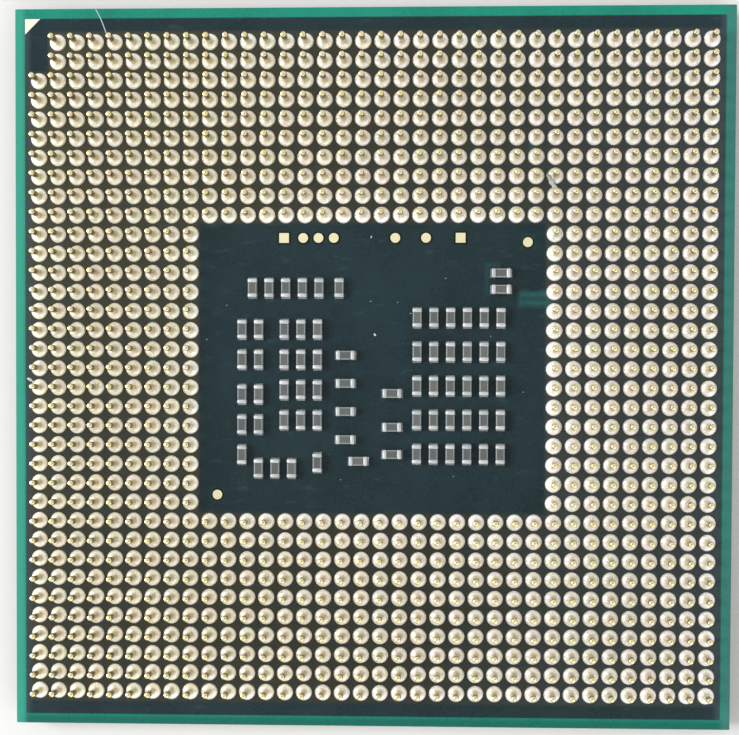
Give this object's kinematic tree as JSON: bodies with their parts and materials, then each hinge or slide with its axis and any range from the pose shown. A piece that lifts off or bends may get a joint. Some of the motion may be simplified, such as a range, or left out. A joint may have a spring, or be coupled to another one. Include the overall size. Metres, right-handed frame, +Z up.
{
  "type": "laptop processor",
  "caption": "Square pin-grid-array processor package for a laptop socket, with two bare dies below and chip capacitors in the pin-free middle.",
  "frame": {"origin": "under the middle of the package, on the plane of the two die backs that it rests on", "axes": "+Z up through the contact pins, +X to the right and +Y to the rear, with the keyed corner at -X +Y"},
  "size_m": [0.0376, 0.0376, 0.004],
  "materials": {
    "solder_mask": "dark green solder mask over a glass and resin laminate",
    "gold_plating": "gold plated contact pins, slightly worn",
    "solder": "bright reflowed solder with a warm tint",
    "ceramic": "grey fired ceramic",
    "tinned_ends": "dull tinned terminations",
    "plated_copper": "pale gold plated copper",
    "silicon": "polished bare silicon, opaque",
    "underfill_resin": "dark filled epoxy"
  },
  "bodies": {
    "root": {"capacitor_ends_corner": "tinned_ends", "capacitor_ends_inner": "tinned_ends", "capacitor_ends_left_foot": "tinned_ends", "capacitor_ends_left_fourth": "tinned_ends", "capacitor_ends_left_second": "tinned_ends", "capacitor_ends_left_third": "tinned_ends", "capacitor_ends_left_upper": "tinned_ends", "capacitor_ends_middle": "tinned_ends", "capacitor_ends_right_foot": "tinned_ends", "capacitor_ends_right_fourth": "tinned_ends", "capacitor_ends_right_second": "tinned_ends", "capacitor_ends_right_third": "tinned_ends", "capacitor_ends_right_upper": "tinned_ends", "capacitor_ends_top_row": "tinned_ends", "capacitor_fillets_corner": "solder", "capacitor_fillets_inner": "solder", "capacitor_fillets_left": "solder", "capacitor_fillets_middle": "solder", "capacitor_fillets_right": "solder", "capacitor_fillets_top": "solder", "capacitors_corner": "ceramic", "capacitors_inner": "ceramic", "capacitors_left_foot": "ceramic", "capacitors_left_fourth": "ceramic", "capacitors_left_second": "ceramic", "capacitors_left_third": "ceramic", "capacitors_left_upper": "ceramic", "capacitors_middle": "ceramic", "capacitors_right_foot": "ceramic", "capacitors_right_fourth": "ceramic", "capacitors_right_second": "ceramic", "capacitors_right_third": "ceramic", "capacitors_right_upper": "ceramic", "capacitors_top_row": "ceramic", "corner_mark_die_side": "plated_copper", "corner_mark_pin_side": "plated_copper", "fiducial_left": "plated_copper", "fiducial_right": "plated_copper", "graphics_die": "silicon", "graphics_underfill": "underfill_resin", "package_substrate": "solder_mask", "pin_joints_front": "solder", "pin_joints_left": "solder", "pin_joints_rear": "solder", "pin_joints_right": "solder", "pins_front": "gold_plating", "pins_left": "gold_plating", "pins_rear": "gold_plating", "pins_right": "gold_plating", "processor_die": "silicon", "processor_underfill": "underfill_resin", "test_pads_round": "plated_copper", "test_pads_square": "plated_copper"}
  },
  "joints": []
}
